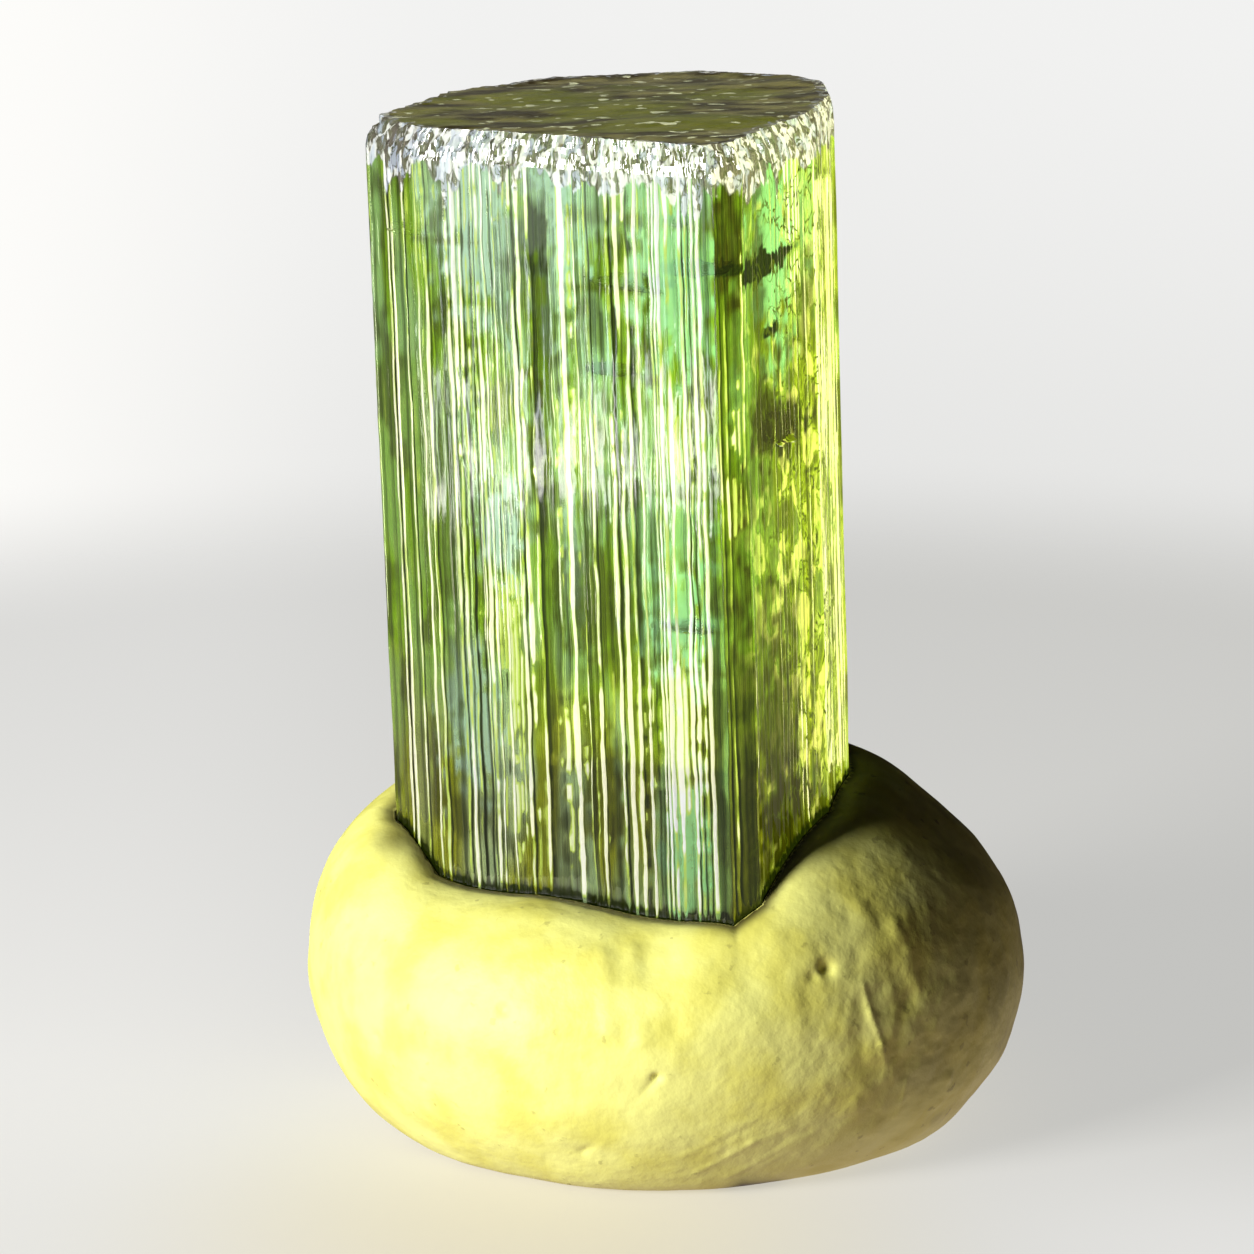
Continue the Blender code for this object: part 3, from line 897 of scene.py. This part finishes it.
def push_by_crystal(point, crystal):
    """How far up the crystal has pushed the putty's skin at a point, or less than 0 for down: a
    collar round it, a crease against it and a shelf along its front face."""
    place = from_axis(point, crystal)
    away = max(0.0, outside_prism(place))
    collar = 0.20 * MM * bump_shape(away - 1.7 * MM, 1.3 * MM)
    crease = 0.30 * MM * bump_shape(away, 0.55 * MM)
    normal = looks_along(FRONT)
    from_face = normal.dot(place) - PRISM_FACES[FRONT][0]
    along = normal.orthogonal().dot(place) / (6.5 * MM)
    shelf = 2.4 * MM * math.exp(-(along**4)) * bump_shape(from_face, 3.2 * MM)
    return collar - crease - shelf


def skin_point(direction, putty, crystal):
    """The putty's skin in one direction from its middle, before the floor pressed it."""
    point = direction * Vector(putty.size) / 2 + Vector((0.0, 0.0, putty.middle))
    handling = 0.22 * MM * noise.noise(direction * 1.6 + Vector((3.1, 0.4, 7.7)))
    handling += 0.11 * MM * noise.noise(direction * 4.3 + Vector((9.2, 5.5, 1.3)))
    swell = (point - Vector((-11.0, -1.0, 10.5)) * MM).length
    handling += 0.60 * MM * bump_shape(swell, 4.5 * MM)
    point += direction * handling
    if direction.z > 0.0:
        point.z += push_by_crystal(point, crystal) * min(1.0, direction.z / 0.3)
    return point


def press_marks(bm):
    """Presses the pits, dents, folds and fingertip ridges into the lump's soft skin."""
    marks = [(Vector(place), Vector(place), radius, height) for place, radius, height in PITS]
    marks += [(Vector(start), Vector(end), width, height) for start, end, width, height in FOLDS]
    points = KDTree(len(bm.verts))
    for index, vert in enumerate(bm.verts):
        points.insert(vert.co / MM, index)
    points.balance()
    lifts = [0.0] * len(bm.verts)
    for start, end, width, height in marks:
        reach = (end - start).length / 2 + 3.0 * width
        for point, index, _ in points.find_range((start + end) / 2, reach):
            nearest = start
            if start != end:
                share = intersect_point_line(point, start, end)[1]
                nearest = start.lerp(end, max(0.0, min(1.0, share)))
            lifts[index] += height * bump_shape((point - nearest).length, width)

    for vert, lift in zip(bm.verts, lifts):
        point = vert.co / MM
        pebbled = 0.3 + bump_shape((point - Vector((8.5, -9.5, 6.0))).length, 3.8)
        lift += 0.060 * pebbled * noise.noise(point * 1.1)
        lift += 0.026 * pebbled * noise.noise(point * 2.4)
        vert.co += vert.normal * lift * MM


def mark_painted_shade(bm, crystal, reach):
    """Marks how much painted shade darkens the putty, for its material: in the crease along the
    crystal, under the lip that a thumb pressed against the crystal's left corner, and in patches on
    its shaded right side."""
    painted_shade = bm.verts.layers.float.new("painted_shade")
    for vert in bm.verts:
        # Painted shade: the crease along the crystal, the lip's shadow and the shaded right side.
        contact = bump_shape(max(0.0, outside_prism(from_axis(vert.co, crystal))), reach)
        lip_shadow = bump_shape((vert.co - Vector((-10.1, -2.9, 11.3)) * MM).length, 0.9 * MM)
        shade_noise = noise.noise(vert.co / (2.2 * MM)) + 0.5 * noise.noise(vert.co / (0.8 * MM))
        right_side_shade = smooth_step(shade_noise, 0.0, 0.5) * smooth_step(vert.co.x, 6 * MM, 10 * MM)
        vert[painted_shade] = max(contact, 0.70 * lip_shadow, 0.22 * right_side_shade)


def press_on_floor(bm):
    """Flattens the lump on the floor with a rounded edge, closes it there and centres it."""
    rounding, sunk = 0.25 * MM, 0.04 * MM
    for vert in bm.verts:
        vert.co.z = rounding * math.log1p(math.exp(vert.co.z / rounding)) - sunk
    cut = bmesh.ops.bisect_plane(
        bm, geom=bm.verts[:] + bm.edges[:] + bm.faces[:], dist=0.00001 * MM,
        plane_co=(0.0, 0.0, 0.0), plane_no=(0.0, 0.0, 1.0), clear_inner=True,
    )["geom_cut"]
    foot_edges = [item for item in cut if isinstance(item, bmesh.types.BMEdge)]
    bmesh.ops.contextual_create(bm, geom=foot_edges)
    low = [min(vert.co[axis] for vert in bm.verts) for axis in (0, 1)]
    high = [max(vert.co[axis] for vert in bm.verts) for axis in (0, 1)]
    middle = Vector((-(low[0] + high[0]) / 2, -(low[1] + high[1]) / 2, 0.0))
    bmesh.ops.translate(bm, verts=bm.verts, vec=middle)
    bmesh.ops.recalc_face_normals(bm, faces=bm.faces)


def carve_socket(lump, crystal):
    """Cuts the crystal's socket out of the lump, a little wider than the prism."""
    tool = bmesh.new()
    outline = prism_corners(0.04 * MM)
    heights = (-0.2 * MM, crystal.top - crystal.foot + 8.0 * MM)
    loft(tool, [[(Vector((*point, z)), ()) for point in outline] for z in heights])
    bmesh.ops.recalc_face_normals(tool, faces=tool.faces)
    stand_as_crystal(tool, crystal)
    cutter = object_from(tool, "socket_cutter", smooth=False)
    socket = lump.modifiers.new("socket", "BOOLEAN")
    socket.object = cutter
    socket.solver = "EXACT"
    graph = bpy.context.evaluated_depsgraph_get()
    carved = bpy.data.meshes.new_from_object(lump.evaluated_get(graph))
    lump.modifiers.clear()
    lump.data = carved
    bpy.data.objects.remove(cutter, do_unlink=True)


class SPECIMEN_OT_putty(bpy.types.Operator):
    """Presses the putty lump: its folds, dents, pits, fingertip ridges and the crystal's socket."""

    bl_idname = "specimen.putty"
    bl_label = "Press the putty"

    def execute(self, context):
        crystal, putty, _ = settings()
        bm = bmesh.new()
        bmesh.ops.create_icosphere(bm, subdivisions=7, radius=1.0)
        front = [
            edge for edge in bm.edges
            if all(vert.co.y < -0.35 and vert.co.z > -0.55 for vert in edge.verts)
        ]
        bmesh.ops.subdivide_edges(bm, edges=front, cuts=1, use_grid_fill=True)
        bmesh.ops.triangulate(bm, faces=[face for face in bm.faces if len(face.verts) > 3])
        for vert in bm.verts:
            vert.co = skin_point(vert.co.normalized(), putty, crystal)
        bm.normal_update()
        press_marks(bm)
        press_on_floor(bm)
        mark_painted_shade(bm, crystal, putty.painted_shade_reach)
        lump = object_from(bm, "putty_lump", putty_material())
        carve_socket(lump, crystal)
        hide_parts(PUTTY_NODE)
        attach(lump, BODY)
        return {"FINISHED"}


# The studio


def world_light():
    """A pale backdrop to look at, and a dim rosy glow from below to light by."""
    world = bpy.data.worlds.new("studio")
    bpy.context.scene.world = world
    world.use_nodes = True
    tree = world.node_tree
    tree.nodes.clear()
    across, _, up = add_node(
        tree, "SeparateXYZ", {0: add_node(tree, "TexCoord")["Generated"]})
    path = add_node(tree, "LightPath")
    seen = add_node(tree, "Math", {
        0: path["Is Camera Ray"], 1: path["Is Transmission Ray"],
    }, operation="ADD", use_clamp=True)[0]
    backdrop = painted(
        tree, "#e0e0de", ("#f2f2f1", up, -0.30, -0.14), ("#fffefb", across, -0.02, -0.14))
    glow = painted(tree, "#120f10", ("#d0bdc6", up, -0.05, -0.62))
    light = painted(tree, glow, (backdrop, seen))
    background = add_node(tree, "Background", {"Color": light, "Strength": 1.0})[0]
    add_node(tree, "OutputWorld", {"Surface": background})


def floor_material():
    """Matt white card that fades out into the backdrop at its edge."""
    material, tree = new_material("white_card")
    place = add_node(tree, "TexCoord")["Object"]
    across, into, _ = add_node(tree, "SeparateXYZ", {0: place})
    # It is painted paler at the back left and the front right, as if lit there, and the putty's
    # colour is painted on it in front, as its bounced light.
    deep = add_node(tree, "MapRange", {0: into, 1: -20 * MM, 2: 5 * MM}, **SMOOTH)[0]
    near = add_node(tree, "MapRange", {0: into, 1: -2 * MM, 2: -16 * MM}, **SMOOTH)[0]
    left = add_node(tree, "MapRange", {0: across, 1: 0.0, 2: -25 * MM, 4: deep}, **SMOOTH)[0]
    right = add_node(tree, "MapRange", {0: across, 1: 5 * MM, 2: 22 * MM, 4: near}, **SMOOTH)[0]
    pale = add_node(tree, "Math", {0: left, 1: right}, operation="ADD", use_clamp=True)[0]
    from_spot = add_node(tree, "VectorMath", {
        0: place, 1: (-5 * MM, -15 * MM, 0.0)}, operation="DISTANCE")["Value"]
    tint = painted(
        tree, "#d2d2cf", ("#e0e0de", pale), ("#d8cda6", from_spot, 19 * MM, 1 * MM, 0.75))
    glow = add_node(tree, "Emission", {"Color": tint, "Strength": 0.85})[0]
    card = add_node(tree, "BsdfDiffuse", {"Color": "#8c8a86"})[0]
    lit = add_node(tree, "AddShader", {0: card, 1: glow})[0]
    away = add_node(tree, "VectorMath", {0: place}, operation="LENGTH")["Value"]
    fade = add_node(tree, "MapRange", {0: away, 1: 72 * MM, 2: 105 * MM}, **SMOOTH)[0]
    gone = add_node(tree, "BsdfTransparent")[0]
    faded = add_node(tree, "MixShader", {0: fade, 1: lit, 2: gone})[0]
    add_node(tree, "OutputMaterial", {"Surface": faded})
    return material


def area_light(name, watts, size, place, towards, tint):
    """A soft light at a place, whose back is turned the way that towards points."""
    lamp = bpy.data.lights.new(name, "AREA")
    lamp.shape = "RECTANGLE"
    lamp.size, lamp.size_y = [side * MM for side in size]
    lamp.energy = watts
    lamp.color = tint
    obj = bpy.data.objects.new(name, lamp)
    bpy.context.scene.collection.objects.link(obj)
    obj.location = Vector(place)
    obj.rotation_euler = Vector(towards).to_track_quat("Z", "Y").to_euler()
    obj.visible_camera = False
    return obj


def standing_light(name, watts, size, azimuth, elevation, distance, aim, tint=(1.0, 1.0, 1.0)):
    """A soft light that faces its aim from a direction, in degrees, and a distance."""
    flat = math.cos(math.radians(elevation))
    towards = Vector((
        math.cos(math.radians(azimuth)) * flat,
        math.sin(math.radians(azimuth)) * flat,
        math.sin(math.radians(elevation)),
    ))
    place = (Vector(aim) + towards * distance) * MM
    return area_light(name, watts, size, place, towards, tint)


def crystal_light(obj, crystal_only, through):
    """Lets a light reach the crystal alone, and only by one kind of ray."""
    obj.light_linking.receiver_collection = crystal_only
    for kind in CRYSTAL_LIGHTS:
        setattr(obj, "visible_" + kind, kind == through)


class SPECIMEN_OT_studio(bpy.types.Operator):
    """Lays the pale floor, and sets the soft lights and the camera."""

    bl_idname = "specimen.studio"
    bl_label = "Set the studio"

    def execute(self, context):
        _, _, studio = settings()
        scene = context.scene
        scene.view_settings.view_transform = "Standard"

        bm = bmesh.new()
        bmesh.ops.create_circle(bm, cap_ends=True, segments=96, radius=120 * MM)
        floor = object_from(bm, "floor", floor_material(), smooth=False)
        floor.visible_diffuse = False
        floor.visible_glossy = False
        world_light()

        crystal_only = bpy.data.collections.new("crystal_only")
        crystal_only.objects.link(bpy.data.objects["tourmaline_prism"])
        standing_light("key", studio.key, *KEY_LIGHT)
        for through, lights in CRYSTAL_LIGHTS.items():
            for light in lights:
                crystal_light(standing_light(*light), crystal_only, through)
        for name, watts, size, azimuth, away, tint in FLOOR_CARDS:
            place = Vector((*(looks_along(azimuth) * away), 0.5)) * MM
            card = area_light(name, watts, size, place, (0.0, 0.0, -1.0), tint)
            card.rotation_euler = (math.pi, 0.0, -math.radians(azimuth))
            crystal_light(card, crystal_only, "glossy")

        lens = bpy.data.cameras.new("camera")
        lens.sensor_width = 36.0
        lens.lens = 156.8
        lens.clip_start = 1 * MM
        lens.clip_end = 5.0
        camera = bpy.data.objects.new("camera", lens)
        scene.collection.objects.link(camera)
        back = Vector((0.0, -math.cos(studio.pitch), math.sin(studio.pitch)))
        camera.location = Vector(studio.target) + back * studio.distance
        camera.rotation_euler = (math.pi / 2 - studio.pitch, 0.0, 0.0)
        scene.camera = camera
        return {"FINISHED"}


class SPECIMEN_PT_panel(bpy.types.Panel):
    """Lists the specimen's pieces and their settings in the sidebar."""

    bl_idname = "SPECIMEN_PT_panel"
    bl_label = "Tourmaline specimen"
    bl_space_type = "VIEW_3D"
    bl_region_type = "UI"
    bl_category = "Specimen"

    def draw(self, context):
        for group, operator in zip(settings(), OPERATORS):
            box = self.layout.box()
            for name in group.bl_rna.properties.keys():
                if name not in ("rna_type", "name"):
                    box.prop(group, name)
            box.operator(operator.bl_idname)


OPERATORS = (SPECIMEN_OT_crystal, SPECIMEN_OT_putty, SPECIMEN_OT_studio)
CLASSES = (*GROUPS.values(), *OPERATORS, SPECIMEN_PT_panel)


def register():
    for cls in CLASSES:
        bpy.utils.register_class(cls)
    for name, group in GROUPS.items():
        setattr(bpy.types.Scene, name, bpy.props.PointerProperty(type=group))


def unregister():
    for name in GROUPS:
        delattr(bpy.types.Scene, name)
    for cls in reversed(CLASSES):
        bpy.utils.unregister_class(cls)


def main():
    """Makes the pieces in order."""
    register()
    bpy.ops.specimen.putty()
    bpy.ops.specimen.crystal()
    bpy.ops.specimen.studio()


if __name__ == "__main__":
    main()
